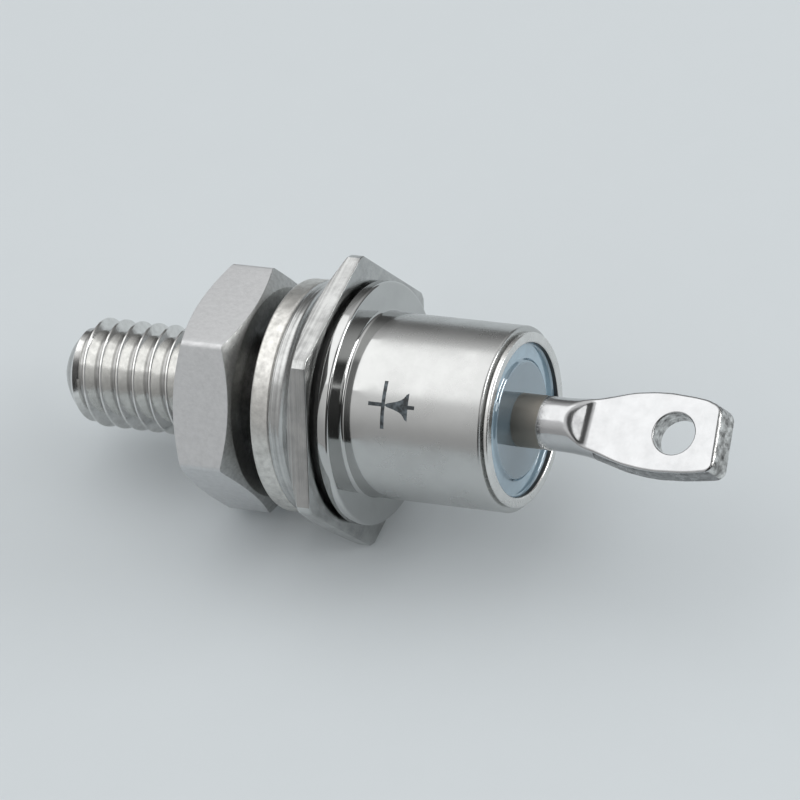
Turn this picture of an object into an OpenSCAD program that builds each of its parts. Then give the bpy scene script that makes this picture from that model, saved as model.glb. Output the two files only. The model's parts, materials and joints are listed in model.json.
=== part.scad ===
// Stud-mounted diode, lying on one flat of its hexagon.
// The diode's axis runs along X, with the threaded stud towards -X and the solder lug towards +X.
// All sizes are in millimetres. Heights along the axis count from the hexagon's face under the can.

/* [Stud and base] */
// Stud, diameter over the thread's crests
stud_d = 4.65; // [4.4:0.05:5]
// Stud, from the seat to its end
stud_len = 11.8; // [10.5:0.05:13]
// Flat end of the stud, diameter
stud_tip_d = 2; // [1.2:0.1:3]
// Rounded end of the stud, length
stud_tip_len = 1.05; // [0.6:0.05:1.6]
// Thread, diameter at which stud and nut meet
thread_d = 4.3; // [4.1:0.05:4.36]
// Stretch of that diameter past each face of the nut
thread_out = 0.15; // [0.1:0.01:0.2]
// Hexagon, across flats
hex_af = 11.1; // [10.8:0.05:11.6]
// How much of each hexagon corner is turned off, measured along the radius
hex_trim = 0.1; // [0.02:0.02:0.3]
// Hexagon, length along the axis
hex_len = 0.95; // [0.8:0.05:1.8]
// Bevel of the hexagon's corners on the stud side, along the axis
hex_bevel = 0.32; // [0.1:0.02:0.5]
// Round shoulder, diameter
shoulder_d = 9.9; // [9.4:0.05:10.2]
// Round shoulder, length along the axis
shoulder_len = 0.45; // [0.3:0.05:1]
// Bevel of the shoulder's edge
shoulder_edge = 0.06; // [0.02:0.01:0.12]
// Flare between shoulder and hexagon, length along the axis
flare_len = 0.72; // [0.5:0.02:1.2]
// Pedestal under the die, diameter
pedestal_d = 6; // [5:0.1:6.4]
// Pedestal under the die, height
pedestal_h = 0.55; // [0.3:0.05:0.8]

/* [Nut and washer] */
// Nut, across flats
nut_af = 9.2; // [8.8:0.05:9.6]
// Nut, thickness
nut_h = 2.75; // [2.2:0.05:3.2]
// Space between washer and nut
nut_gap = 1.1; // [0.2:0.02:2]
// Turn of the nut against the hexagon, degrees
nut_turn = 6.5; // [0:0.5:30]
// Bevel of the nut's corners, along the axis
nut_bevel = 0.44; // [0.2:0.02:0.6]
// Reach of that bevel onto the nut's faces, inside the flats
nut_face = 0.15; // [0.05:0.01:0.3]
// Countersink of the nut, past the stud's crests
nut_sink = 0.25; // [0.1:0.05:0.4]
// Washer, diameter
washer_d = 9.86; // [9:0.02:10.2]
// Washer, thickness
washer_t = 0.9; // [0.6:0.05:1.2]
// Rounding of the washer's edges
washer_edge = 0.1; // [0.05:0.01:0.2]
// Clearance around the stud in the washer
washer_clear = 0.2; // [0.05:0.05:0.4]

/* [Can] */
// Can, diameter
can_d = 7.82; // [7.6:0.02:8.2]
// Can, wall thickness
can_wall = 0.42; // [0.34:0.02:0.5]
// Can, height of its end
can_end = 7.06; // [6.8:0.02:8]
// Rounding of the can's end
can_edge = 0.1; // [0.04:0.02:0.12]
// Weld flange, diameter
flange_d = 10.3; // [10:0.05:10.7]
// Weld flange, thickness
flange_t = 0.5; // [0.4:0.02:0.7]
// Gap between the hexagon and the weld flange
flange_gap = 0.22; // [0.1:0.02:0.3]
// Fillet between flange and can
flange_fillet = 0.5; // [0.2:0.05:0.6]
// Rounding of the flange's edge
flange_edge = 0.12; // [0.04:0.02:0.18]

/* [Weld ring] */
// Weld ring, outer diameter
ring_d = 9.2; // [9:0.05:9.6]
// Weld ring, width
ring_w = 1.1; // [0.8:0.05:1.2]
// Groove in the base for the weld ring, depth
ring_groove = 0.3; // [0.2:0.02:0.4]
// Braze under the weld ring, thickness
braze_t = 0.06; // [0.04:0.01:0.1]

/* [Glass seal] */
// Step from the can to the rim of the eyelet
rim_step = 0.13; // [0.08:0.01:0.2]
// Rim of the eyelet, height
rim_h = 0.39; // [0.3:0.01:0.5]
// Rounding of the rim
rim_edge = 0.28; // [0.1:0.02:0.28]
// Eyelet, wall thickness
eyelet_wall = 0.26; // [0.2:0.01:0.36]
// Eyelet, depth inside the can
eyelet_depth = 1.85; // [1.4:0.05:2]
// Glass surface below the top of the rim
glass_recess = 0.42; // [0.3:0.02:0.6]
// Glass, thickness
glass_t = 1.7; // [1.2:0.05:1.8]
// Meniscus of the glass on the terminal
meniscus = 0.26; // [0.1:0.02:0.3]
// Meniscus of the glass on the eyelet
meniscus_rim = 0.14; // [0.06:0.02:0.2]

/* [Terminal] */
// Tube, diameter
tube_d = 2.25; // [2:0.05:2.5]
// Tube below the glass, length
tube_below = 0.3; // [0.2:0.05:0.4]
// Round part of the tube above the rim
tube_above = 2.3; // [1.8:0.05:2.6]
// Length over which the tube goes flat
squash_len = 0.6; // [0.5:0.05:1]
// Width of the lug where the tube has gone flat
neck_w = 2.44; // [2.3:0.02:2.7]
// Lug, width at its widest
lug_w = 3.44; // [3.2:0.02:3.6]
// Lug, width at its end
tip_w = 2.96; // [2.8:0.02:3.1]
// Lug, thickness
lug_t = 0.95; // [0.8:0.05:1.1]
// End of the lug, height
lug_end = 16.4; // [16:0.05:18]
// Rounding of the lug's corners
lug_corner = 0.42; // [0.3:0.02:0.8]
// Hole in the lug, diameter
hole_d = 1.8; // [1.5:0.05:2]
// Hole in the lug, from the end to its centre
hole_back = 2.18; // [1.9:0.01:2.8]
// Turn of the lug about the axis, degrees
lug_turn = 23.5; // [0:0.5:60]
// Solid end of the tube before it goes flat
tube_stop = 0.6; // [0.3:0.05:1]

/* [Inside] */
// Each solder layer, thickness
solder_t = 0.06; // [0.04:0.01:0.08]
// Lower disc, diameter
lower_d = 3.6; // [3.4:0.1:4.4]
// Lower disc, thickness
lower_t = 0.5; // [0.4:0.05:0.6]
// Die, diameter
die_d = 2.8; // [2.6:0.1:3]
// Die, thickness
die_t = 0.25; // [0.2:0.01:0.3]
// Upper disc, diameter
upper_d = 2.2; // [2:0.1:2.4]
// Upper disc, thickness
upper_t = 0.4; // [0.3:0.05:0.5]
// Lead, diameter
lead_d = 1.2; // [1:0.05:1.3]
// Head of the lead, diameter
head_d = 1.8; // [1.6:0.05:1.9]
// Head of the lead, thickness
head_t = 0.3; // [0.2:0.02:0.36]
// Side step of the lead's stress relief
bend_x = 0.6; // [0.4:0.02:0.9]
// Extra thickness of the lead's knuckles
knuckle = 0.04; // [0.02:0.01:0.08]
// Clearance of the lowest knuckle over the head
knuckle_low = 0.05; // [0.03:0.01:0.1]
// Clearance of the top knuckle under the tube
knuckle_top = 0.1; // [0.05:0.01:0.2]
// Coating on the lower disc, width
coat_w = 0.3; // [0.2:0.02:0.34]

/* [Hidden] */
$fn = 64;
// Corner radius of a hexagon for each unit across flats
corner = 1 / (2 * cos(30));
// Overlap of solids that are joined inside one piece
eps = 0.02;
// Reach of a cutting solid past the face that it cuts
cut = 0.5;
// Curve of the flare: share of its height and share of its length
flare_curve = [[0.12, 0.3], [0.42, 0.65]];
// Curve of the stud's end: share of its height and share of its length
stud_curve = [0.6, 0.42];
// Curve of the lug's edge: share of its length, and share of the way from neck width to full width
lug_curve = [[0.14, 0.32], [0.306, 0.74], [0.438, 0.94], [0.554, 1], [0.736, 0.88], [0.835, 0.74]];
// Curve of the junction coating: shares of its width, of the die's height and of the disc's height
coat_curve = [0.8, 0.5, 0.4];
// Turn angles round the tube's section as it goes flat, with points on the four corners of the flat section
squash_steps = 8;
edge_steps = 4;
squash_corner = atan2(neck_w, lug_t);
squash_half = concat(
  [for (i = [-squash_steps : squash_steps]) squash_corner * i / squash_steps],
  [for (i = [1 : edge_steps - 1]) squash_corner + (180 - 2 * squash_corner) * i / edge_steps]
);
squash_turns = concat(squash_half, [for (t = squash_half) t + 180]);
squash_n = len(squash_turns);
// Diameters that follow from the can's
rim_d = can_d - 2 * rim_step;
eyelet_d = can_d - 2 * can_wall - 2 * eyelet_wall;
// Countersink of the nut
sink_d = stud_d + 2 * nut_sink;
sink_h = (sink_d - thread_d) / 2;
// Heights along the axis
seat = -(hex_len + flare_len + shoulder_len);
stud_end = seat - stud_len;
washer_top = seat - washer_t;
nut_top = washer_top - nut_gap;
nut_far = nut_top - nut_h;
flange_top = flange_gap + flange_t;
rim_top = can_end + rim_h;
glass_top = rim_top - glass_recess;
glass_low = glass_top - glass_t;
tube_low = glass_low - tube_below;
squash_from = rim_top + tube_above;
squash_to = squash_from + squash_len;
hole_at = lug_end - hole_back;
bore_end = squash_from - tube_stop;
// Heights of the stack inside
z_base_solder = pedestal_h;
z_lower = z_base_solder + solder_t;
z_die_solder = z_lower + lower_t;
z_die = z_die_solder + solder_t;
z_top_solder = z_die + die_t;
z_upper = z_top_solder + solder_t;
z_lead_solder = z_upper + upper_t;
z_head = z_lead_solder + solder_t;
z_lead = z_head + head_t;
z_bend = z_lead + lead_d / 2 + knuckle_low;
z_straight = tube_low - lead_d / 2 - knuckle_top;
bend_h = (z_straight - z_bend) / 2;
// At rest the hexagon's flat and the nut's lowest corner touch the floor, which tilts the axis
nut_low = nut_af * corner * cos(30 - nut_turn);
nut_low_at = nut_far + nut_bevel;
rest_tilt = atan((hex_af / 2 - nut_low) / (-hex_len - nut_low_at));
axis_z = hex_af / 2 * cos(rest_tilt) + hex_len * sin(rest_tilt);
// Lowest point of the lug's end below the axis, and the middle of the part along X
lug_low = (tip_w / 2 - lug_corner) * sin(lug_turn) + lug_t / 2 * cos(lug_turn);
mid = ((stud_end + lug_end) * cos(rest_tilt) + (lug_low - stud_tip_d / 2) * sin(rest_tilt)) / 2;

// Lays the upright axis down along X, with the stud's end lower
module laid() {
  translate([-mid, 0, axis_z])
    rotate([0, 90 - rest_tilt, 0])
      children();
}

// Hexagon prism with two corners on the level line when laid down
module hexagon(af, h) {
  rotate([0, 0, 30])
    cylinder(r = af * corner, h = h, $fn = 6);
}

// Disc between two heights
module disc(d, from, h) {
  translate([0, 0, from])
    cylinder(d = d, h = h);
}

// Round turned section of the base: shoulder, flare and bevelled corners
module base_profile() {
  r_sh = shoulder_d / 2;
  r_flat = hex_af / 2;
  r_max = hex_af * corner - hex_trim;
  polygon([
    [0, seat],
    [r_sh - shoulder_edge, seat],
    [r_sh, seat + shoulder_edge],
    [r_sh, seat + shoulder_len],
    for (c = flare_curve) [r_sh + c[0] * (r_flat - r_sh), seat + shoulder_len + c[1] * flare_len],
    [r_flat, -hex_len],
    [r_max, -hex_len + hex_bevel],
    [r_max, 0],
    [0, 0]
  ]);
}

// Stud with its rounded end, and the stretch where the nut's thread and its own meet
module stud_profile() {
  r = stud_d / 2;
  r_tip = stud_tip_d / 2;
  r_thread = thread_d / 2;
  polygon([
    [0, stud_end],
    [r_tip, stud_end],
    [r_tip + stud_curve[0] * (r - r_tip), stud_end + stud_curve[1] * stud_tip_len],
    [r, stud_end + stud_tip_len],
    [r, nut_far - thread_out],
    [r_thread, nut_far - thread_out],
    [r_thread, nut_top + thread_out],
    [r, nut_top + thread_out],
    [r, seat + eps],
    [0, seat + eps]
  ]);
}

module stud_base() {
  color([0.78, 0.79, 0.8])
    laid()
      difference() {
        union() {
          intersection() {
            rotate_extrude()
              base_profile();
            translate([0, 0, seat - cut])
              hexagon(hex_af, cut - seat);
          }
          rotate_extrude()
            stud_profile();
          disc(pedestal_d, -eps, pedestal_h + eps);
        }
        translate([0, 0, -ring_groove])
          difference() {
            cylinder(d = ring_d, h = ring_groove + cut);
            translate([0, 0, -cut])
              cylinder(d = ring_d - 2 * ring_w, h = ring_groove + 3 * cut);
          }
      }
}

// Round turned section of the nut with its bevelled corners
module nut_profile() {
  r_face = nut_af / 2 - nut_face;
  r_max = nut_af * corner;
  polygon([
    [0, 0],
    [r_face, 0],
    [r_max, nut_bevel],
    [r_max, nut_h - nut_bevel],
    [r_face, nut_h],
    [0, nut_h]
  ]);
}

// Countersink at the nut's lower face
module nut_countersink() {
  translate([0, 0, -cut])
    cylinder(d1 = sink_d + 2 * cut, d2 = thread_d, h = sink_h + cut);
}

module hex_nut() {
  color([0.62, 0.63, 0.64])
    laid()
      translate([0, 0, nut_far])
        difference() {
          intersection() {
            rotate_extrude()
              nut_profile();
            rotate([0, 0, -nut_turn])
              hexagon(nut_af, nut_h);
          }
          translate([0, 0, -cut])
            cylinder(d = thread_d, h = nut_h + 2 * cut);
          nut_countersink();
          translate([0, 0, nut_h])
            rotate([180, 0, 0])
              nut_countersink();
        }
}

module washer() {
  r_in = stud_d / 2 + washer_clear;
  r_out = washer_d / 2;
  e = washer_edge;
  color([0.8, 0.79, 0.76])
    laid()
      translate([0, 0, washer_top])
        rotate_extrude()
          union() {
            translate([r_in, 0])
              square([r_out - e - r_in, washer_t]);
            translate([r_out - e - eps, e])
              square([e + eps, washer_t - 2 * e]);
            translate([r_out - e, e])
              circle(r = e);
            translate([r_out - e, washer_t - e])
              circle(r = e);
          }
}

module weld_ring() {
  color([0.6, 0.6, 0.62])
    laid()
      translate([0, 0, -ring_groove + braze_t])
        difference() {
          cylinder(d = ring_d, h = ring_groove - braze_t + flange_gap);
          translate([0, 0, -cut])
            cylinder(d = ring_d - 2 * ring_w, h = ring_groove + flange_gap + 2 * cut);
        }
}

module ring_braze() {
  color([0.75, 0.68, 0.52])
    laid()
      translate([0, 0, -ring_groove])
        difference() {
          cylinder(d = ring_d, h = braze_t);
          translate([0, 0, -cut])
            cylinder(d = ring_d - 2 * ring_w, h = braze_t + 2 * cut);
        }
}

module can_profile() {
  r_in = can_d / 2 - can_wall;
  r_out = can_d / 2;
  r_fl = flange_d / 2;
  f = flange_fillet;
  e = can_edge;
  g = flange_edge;
  union() {
    translate([r_in, flange_gap])
      square([can_wall, can_end - e - flange_gap]);
    translate([r_in, can_end - e - eps])
      square([can_wall - e, e + eps]);
    translate([r_out - e, can_end - e])
      circle(r = e);
    translate([r_out - eps, flange_gap])
      square([r_fl - g - r_out + eps, flange_t]);
    translate([r_fl - g - eps, flange_gap])
      square([g + eps, flange_t - g]);
    translate([r_fl - g, flange_top - g])
      circle(r = g);
    difference() {
      translate([r_out - eps, flange_top - eps])
        square([f + eps, f + eps]);
      translate([r_out + f, flange_top + f])
        circle(r = f);
    }
  }
}

module can() {
  color([0.8, 0.81, 0.82])
    laid()
      rotate_extrude()
        can_profile();
}

module seal_ring() {
  r_in = eyelet_d / 2;
  r_body = can_d / 2 - can_wall;
  r_rim = rim_d / 2;
  e = rim_edge;
  color([0.84, 0.84, 0.84])
    laid()
      rotate_extrude()
        union() {
          translate([r_in, can_end - eyelet_depth])
            square([r_body - r_in, eyelet_depth + eps]);
          translate([r_in, can_end])
            square([r_rim - e - r_in, rim_h]);
          translate([r_rim - e - eps, can_end])
            square([e + eps, rim_h - e]);
          intersection() {
            translate([r_rim - e, rim_top - e])
              circle(r = e);
            translate([r_rim - e - eps, rim_top - e - eps])
              square([2 * e, 2 * e]);
          }
        }
}

module glass_seal() {
  r_in = tube_d / 2;
  r_out = eyelet_d / 2;
  m = meniscus;
  n = meniscus_rim;
  color([0.56, 0.64, 0.69])
    laid()
      rotate_extrude()
        union() {
          translate([r_in, glass_low])
            square([r_out - r_in, glass_t]);
          difference() {
            translate([r_in, glass_top - eps])
              square([m, m + eps]);
            translate([r_in + m, glass_top + m])
              circle(r = m);
          }
          difference() {
            translate([r_out - n, glass_top - eps])
              square([n, n + eps]);
            translate([r_out - n, glass_top + n])
              circle(r = n);
          }
        }
}

// Outline of the flat lug, drawn with its length along the first axis
function lug_side(s) = [
  [squash_to, s * neck_w / 2],
  for (c = lug_curve) [squash_to + c[0] * (lug_end - squash_to), s * (neck_w + c[1] * (lug_w - neck_w)) / 2],
  [lug_end - lug_corner, s * tip_w / 2],
  [lug_end, s * (tip_w / 2 - lug_corner)]
];

module lug_outline() {
  left = lug_side(1);
  right = lug_side(-1);
  last = len(right) - 1;
  polygon(concat(left, [for (i = [0 : last]) right[last - i]]));
  for (s = [-1, 1])
    translate([lug_end - lug_corner, s * (tip_w / 2 - lug_corner)])
      circle(r = lug_corner);
}

// Radius of the tube's section where it is flat, and between round (u = 0) and flat (u = 1)
function squash_flat(t) =
  min((lug_t / 2 - eps) / max(abs(cos(t)), eps), (neck_w / 2 - eps) / max(abs(sin(t)), eps));
function squash_r(t, u) =
  let (s = u * u * (3 - 2 * u))
    (1 - s) * (tube_d / 2 - eps) + s * squash_flat(t);

// The tube pressed flat: its section goes from a circle to the lug's rectangle in smooth steps.
// It starts inside the tube's end and stops inside the lug.
module squashed_tube() {
  polyhedron(
    points = [
      for (i = [0 : squash_steps])
        let (u = i / squash_steps)
          for (t = squash_turns)
            [squash_r(t, u) * cos(t), squash_r(t, u) * sin(t), squash_from - eps + u * (squash_len + 2 * eps)]
    ],
    faces = concat(
      [[for (j = [0 : squash_n - 1]) j]],
      [[for (j = [0 : squash_n - 1]) (squash_steps + 1) * squash_n - 1 - j]],
      [
        for (i = [0 : squash_steps - 1])
          for (j = [0 : squash_n - 1])
            let (k = (j + 1) % squash_n)
              each [
                [i * squash_n + j, (i + 1) * squash_n + j, (i + 1) * squash_n + k],
                [i * squash_n + j, (i + 1) * squash_n + k, i * squash_n + k]
              ]
      ]
    )
  );
}

module terminal() {
  color([0.82, 0.83, 0.85])
    laid()
      rotate([0, 0, lug_turn])
        difference() {
          union() {
            disc(tube_d, tube_low, squash_from - tube_low);
            squashed_tube();
            rotate([0, -90, 0])
              translate([0, 0, -lug_t / 2])
                linear_extrude(height = lug_t)
                  lug_outline();
          }
          translate([0, 0, tube_low - cut])
            cylinder(d = lead_d, h = bore_end - tube_low + cut);
          translate([0, 0, hole_at])
            rotate([0, 90, 0])
              translate([0, 0, -lug_t])
                cylinder(d = hole_d, h = 2 * lug_t);
        }
}

module base_solder() {
  color([0.7, 0.7, 0.7])
    laid()
      disc(lower_d, z_base_solder, solder_t);
}

module lower_disc() {
  color([0.55, 0.55, 0.57])
    laid()
      disc(lower_d, z_lower, lower_t);
}

module die_solder() {
  color([0.7, 0.7, 0.7])
    laid()
      disc(die_d, z_die_solder, solder_t);
}

module die() {
  color([0.3, 0.32, 0.36])
    laid()
      disc(die_d, z_die, die_t);
}

module top_solder() {
  color([0.7, 0.7, 0.7])
    laid()
      disc(upper_d, z_top_solder, solder_t);
}

module upper_disc() {
  color([0.55, 0.55, 0.57])
    laid()
      disc(upper_d, z_upper, upper_t);
}

module lead_solder() {
  color([0.7, 0.7, 0.7])
    laid()
      disc(head_d, z_lead_solder, solder_t);
}

// Straight run of the lead from one point to another in the plane of its bend
module lead_run(x1, z1, x2, z2) {
  translate([x1, 0, z1])
    rotate([0, atan2(x2 - x1, z2 - z1), 0])
      cylinder(d = lead_d, h = norm([x2 - x1, z2 - z1]));
}

// Rounded knuckle between two runs, a little thicker than the lead
module lead_knuckle(x, z) {
  translate([x, 0, z])
    sphere(d = lead_d + knuckle);
}

module lead() {
  color([0.78, 0.5, 0.35])
    laid()
      union() {
        disc(head_d, z_head, head_t);
        lead_run(0, z_lead - eps, 0, z_bend);
        lead_knuckle(0, z_bend);
        lead_run(0, z_bend, bend_x, z_bend + bend_h);
        lead_knuckle(bend_x, z_bend + bend_h);
        lead_run(bend_x, z_bend + bend_h, 0, z_straight);
        lead_knuckle(0, z_straight);
        lead_run(0, z_straight, 0, bore_end);
      }
}

module junction_coat() {
  r_die = die_d / 2;
  r_up = upper_d / 2;
  color([0.86, 0.84, 0.78])
    laid()
      rotate_extrude()
        polygon([
          [r_die, z_die_solder],
          [r_die + coat_w, z_die_solder],
          [r_die + coat_curve[0] * coat_w, z_die + coat_curve[1] * die_t],
          [r_die, z_upper + coat_curve[2] * upper_t],
          [r_up, z_upper + coat_curve[1] * upper_t],
          [r_up, z_top_solder],
          [r_die, z_top_solder]
        ]);
}

stud_base();
hex_nut();
washer();
weld_ring();
ring_braze();
can();
seal_ring();
glass_seal();
terminal();
base_solder();
lower_disc();
die_solder();
die();
top_solder();
upper_disc();
lead_solder();
lead();
junction_coat();
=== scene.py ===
"""Stud diode lying at rest: threaded stud, nut, washer, hexagon base, can, glass seal and solder lug."""

import json
import math
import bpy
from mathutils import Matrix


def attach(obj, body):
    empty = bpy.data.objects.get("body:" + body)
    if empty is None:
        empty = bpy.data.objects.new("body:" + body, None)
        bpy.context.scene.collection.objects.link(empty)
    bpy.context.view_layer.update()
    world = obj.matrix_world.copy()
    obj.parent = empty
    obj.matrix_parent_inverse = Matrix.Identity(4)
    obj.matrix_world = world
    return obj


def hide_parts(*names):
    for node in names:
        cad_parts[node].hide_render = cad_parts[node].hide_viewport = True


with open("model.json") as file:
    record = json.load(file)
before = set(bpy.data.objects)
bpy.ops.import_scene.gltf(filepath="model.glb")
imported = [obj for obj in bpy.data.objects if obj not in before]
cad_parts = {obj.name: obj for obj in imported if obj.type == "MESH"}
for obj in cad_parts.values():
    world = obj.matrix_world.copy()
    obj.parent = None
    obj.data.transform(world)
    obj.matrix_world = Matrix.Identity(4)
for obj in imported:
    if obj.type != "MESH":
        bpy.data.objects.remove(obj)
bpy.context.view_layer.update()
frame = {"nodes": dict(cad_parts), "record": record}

from types import SimpleNamespace

import bmesh
import bpy
import numpy as np
from bpy.props import FloatProperty, FloatVectorProperty, PointerProperty
from bpy.types import Operator, Panel, PropertyGroup
from mathutils import Matrix, Vector

bl_info = {
    "name": "Stud diode",
    "version": (1, 0, 0),
    "blender": (4, 5, 0),
    "location": "View3D > Sidebar > Stud diode",
    "description": "Builds the looks of a stud-mounted diode around its packed solids",
    "category": "Add Mesh",
}

MM = 0.001
# Points closer than this are one point, in metres
MERGE = 2e-7
# Faces this close to a limit count as within it, in mm
FACE_MARGIN = 0.01
# Height along the axis, in mm from the hexagon's face, of the middle of the stud's free wall
STUD_MOUNT_AT = -9.945


# Settings that a user would change

def length(name, description, millimetres):
    """A size that is typed here in millimetres and kept in metres."""
    return FloatProperty(name=name, description=description, default=millimetres * MM, min=0, precision=5,
                         unit="LENGTH")


def turn(name, description, degrees):
    """An angle that is typed here in degrees."""
    return FloatProperty(name=name, description=description, default=math.radians(degrees), subtype="ANGLE")


def linear(hex_colour):
    """An sRGB hex colour as linear red, green, blue and alpha."""
    parts = [int(hex_colour[i:i + 2], 16) / 255 for i in (1, 3, 5)]
    return [p / 12.92 if p <= 0.04045 else ((p + 0.055) / 1.055) ** 2.4 for p in parts] + [1.0]


def colour(name, description, hex_colour):
    """A colour that is typed here as an sRGB hex value."""
    return FloatVectorProperty(name=name, description=description, default=linear(hex_colour), size=4,
                               min=0, max=1, subtype="COLOR")


class DiodeBaseSettings(PropertyGroup):
    """Stud and hexagon base."""
    stud_d: length("Stud", "Diameter over the thread's crests", 4.65)
    stud_len: length("Stud length", "From the seat to the stud's end", 11.8)
    tip_d: length("Stud end", "Diameter of the stud's flat end", 2.0)
    tip_len: length("Stud end rounding", "Length of the stud's rounded end", 1.25)
    pitch: length("Thread pitch", "Advance of the thread in one turn", 0.794)
    thread_h: length("Thread depth", "Height of the thread's crests over its roots", 0.5)
    thread_turn: turn("Thread start", "Turn at which the thread begins", 102.6)
    hex_af: length("Hexagon", "Across flats", 11.1)
    hex_trim: length("Corner trim", "How much of each corner is turned off", 0.1)
    hex_len: length("Hexagon length", "Along the axis", 0.95)
    hex_bevel: length("Hexagon bevel", "Along the axis at the corners", 0.32)
    shoulder_d: length("Shoulder", "Diameter of the round shoulder", 9.9)
    shoulder_len: length("Shoulder length", "Along the axis", 0.45)
    flare_len: length("Flare length", "Along the axis, from shoulder to hexagon", 0.72)
    edge: length("Edge", "Rounding of the turned edges", 0.05)
    groove_d: length("Groove", "Outer diameter of the groove for the weld ring", 9.2)
    groove_w: length("Groove width", "Across the groove", 1.1)
    groove_h: length("Groove depth", "Along the axis", 0.3)
    pedestal_d: length("Pedestal", "Diameter of the pedestal under the die", 6.0)
    pedestal_h: length("Pedestal height", "Along the axis", 0.55)


class DiodeNutSettings(PropertyGroup):
    """Nut and washer."""
    af: length("Nut", "Across flats", 9.2)
    h: length("Nut thickness", "Along the axis", 2.75)
    gap: length("Nut gap", "Space between washer and nut", 1.1)
    turn: turn("Nut turn", "Turn against the hexagon", 6.5)
    bevel: length("Nut bevel", "Along the axis at the corners", 0.44)
    face: length("Bevel reach", "Reach of the bevel onto the faces, inside the flats", 0.15)
    sink: length("Countersink", "Past the stud's crests", 0.25)
    play: length("Thread play", "Between the nut's thread and the stud's", 0.01)
    corner: length("Nut corner", "Rounding of the corners between the flats", 0.3)
    edge: length("Nut edge", "Rounding of the edges of faces and bevels", 0.05)
    washer_d: length("Washer", "Diameter", 9.86)
    washer_t: length("Washer thickness", "Along the axis", 0.9)
    washer_edge: length("Washer edge", "Rounding of the punched edge", 0.12)
    washer_clear: length("Washer clearance", "Around the stud", 0.2)
    washer_rough: length("Washer roughness", "Unevenness of the sheared rim", 0.006)
    washer_hollow: length("Washer hollow", "Rim below its two edges", 0.004)


class DiodeCanSettings(PropertyGroup):
    """Can with its weld flange."""
    d: length("Can", "Diameter", 7.82)
    wall: length("Can wall", "Thickness", 0.42)
    end: length("Can end", "Height of its end", 7.06)
    edge: length("Can edge", "Rounding of its end", 0.12)
    flange_d: length("Flange", "Diameter", 10.3)
    flange_t: length("Flange thickness", "Along the axis", 0.5)
    flange_gap: length("Flange gap", "Between hexagon and flange", 0.22)
    flange_edge: length("Flange edge", "Rounding of its rim", 0.14)
    flange_under: length("Flange lower edge", "Rounding of its rim beside the hexagon", 0.06)
    fillet: length("Flange fillet", "Between flange and wall", 0.15)
    mark_at: length("Mark height", "Height of the mark's bar along the axis", 2.62)
    mark_turn: turn("Mark turn", "Turn of the mark from straight down", -138.5)
    mark_bar: length("Mark bar", "Length of its bar round the can", 2.0)
    mark_arrow: length("Mark arrow", "Length of its arrow along the axis", 1.05)
    mark_head: length("Mark arrow width", "Width of its arrow round the can", 1.16)
    mark_point: length("Mark arrow point", "Width of the arrow's point", 0.04)
    mark_line: length("Mark line", "Width of its lines", 0.16)
    mark_lead: length("Mark lead", "Line from the bar towards the flange", 0.68)
    mark_tail: length("Mark tail", "Line behind the arrow", 0.3)
    mark_ink: length("Mark ink", "Thickness of the ink", 0.004)


class DiodeSealSettings(PropertyGroup):
    """Eyelet and glass."""
    rim_step: length("Rim step", "From the can's wall to the eyelet's rim", 0.24)
    rim_h: length("Rim height", "Over the can's end", 0.27)
    rim_edge: length("Rim rounding", "Outer edge of the rim", 0.2)
    rim_inner: length("Rim inner rounding", "Inner edge of the rim", 0.1)
    rim_groove: length("Rim groove", "Depth of the groove between can and rim", 0.1)
    eyelet_wall: length("Eyelet wall", "Thickness", 0.26)
    eyelet_depth: length("Eyelet depth", "Inside the can", 1.85)
    recess: length("Glass recess", "Glass below the top of the rim", 0.3)
    glass_t: length("Glass", "Thickness", 1.7)
    meniscus: length("Meniscus", "Creep of the glass up the eyelet", 0.08)
    collar_d: length("Collar", "Diameter of the glass collar round the terminal", 4.9)
    collar_h: length("Collar height", "Over the rest of the glass", 0.13)


class DiodeTerminalSettings(PropertyGroup):
    """Tube that is pressed flat into the solder lug."""
    tube_d: length("Tube", "Diameter", 2.25)
    below: length("Tube below", "Length below the glass", 0.3)
    press_from: length("Pressed from", "Height at which the tube starts to go flat", 9.66)
    press_to: length("Pressed to", "Height at which it is flat", 10.4)
    press_soft: length("Press rounding", "Rounding between tube, ramp and flat", 0.2)
    neck_w: length("Neck", "Width where the tube has gone flat", 2.44)
    lug_w: length("Lug", "Width at its widest", 3.52)
    tip_w: length("Lug end", "Width at its end", 3.04)
    lug_t: length("Lug thickness", "Across the flats", 1.06)
    end: length("Lug end height", "Along the axis", 16.4)
    end_lean: length("Lug end lean", "Slant of its end over the thickness", 0.29)
    end_back: length("Lug end set back", "Middle of the slanted end below its height", 0.14)
    end_thin: length("Lug end thinning", "Off each face at the very end", 0.09)
    corner: length("Lug corner", "Rounding of its outline", 0.42)
    side: length("Lug side", "Rounding of its long edges", 0.16)
    hole_d: length("Hole", "Diameter", 1.8)
    hole_back: length("Hole place", "From the end to its centre", 2.18)
    hole_edge: length("Hole edge", "Rounding of its edge", 0.09)
    lug_turn: turn("Lug turn", "About the axis", 23.5)
    tin_from: length("Tin from", "Height at which the tinning begins", 8.34)


class DiodeFinishSettings(PropertyGroup):
    """Colours of the finishes."""
    nickel: colour("Bright nickel", "Plating of base and can", "#C0C1C0")
    satin: colour("Satin nickel", "Plating of the nut", "#D6D7D8")
    washer: colour("Washer tin", "Plating of the washer", "#D8D7D3")
    eyelet: colour("Eyelet nickel", "Plating of eyelet and thread", "#E2E2E0")
    glass: colour("Seal glass", "Glass round the terminal", "#A2B6C1")
    tin: colour("Tin", "Tinning of the lug", "#C3C4C5")
    bare: colour("Bare alloy", "Root of the terminal", "#97928A")
    ink: colour("Ink", "Mark on the can", "#2C3134")
    floor: colour("Floor", "Plain floor", "#CCD2D5")


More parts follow.
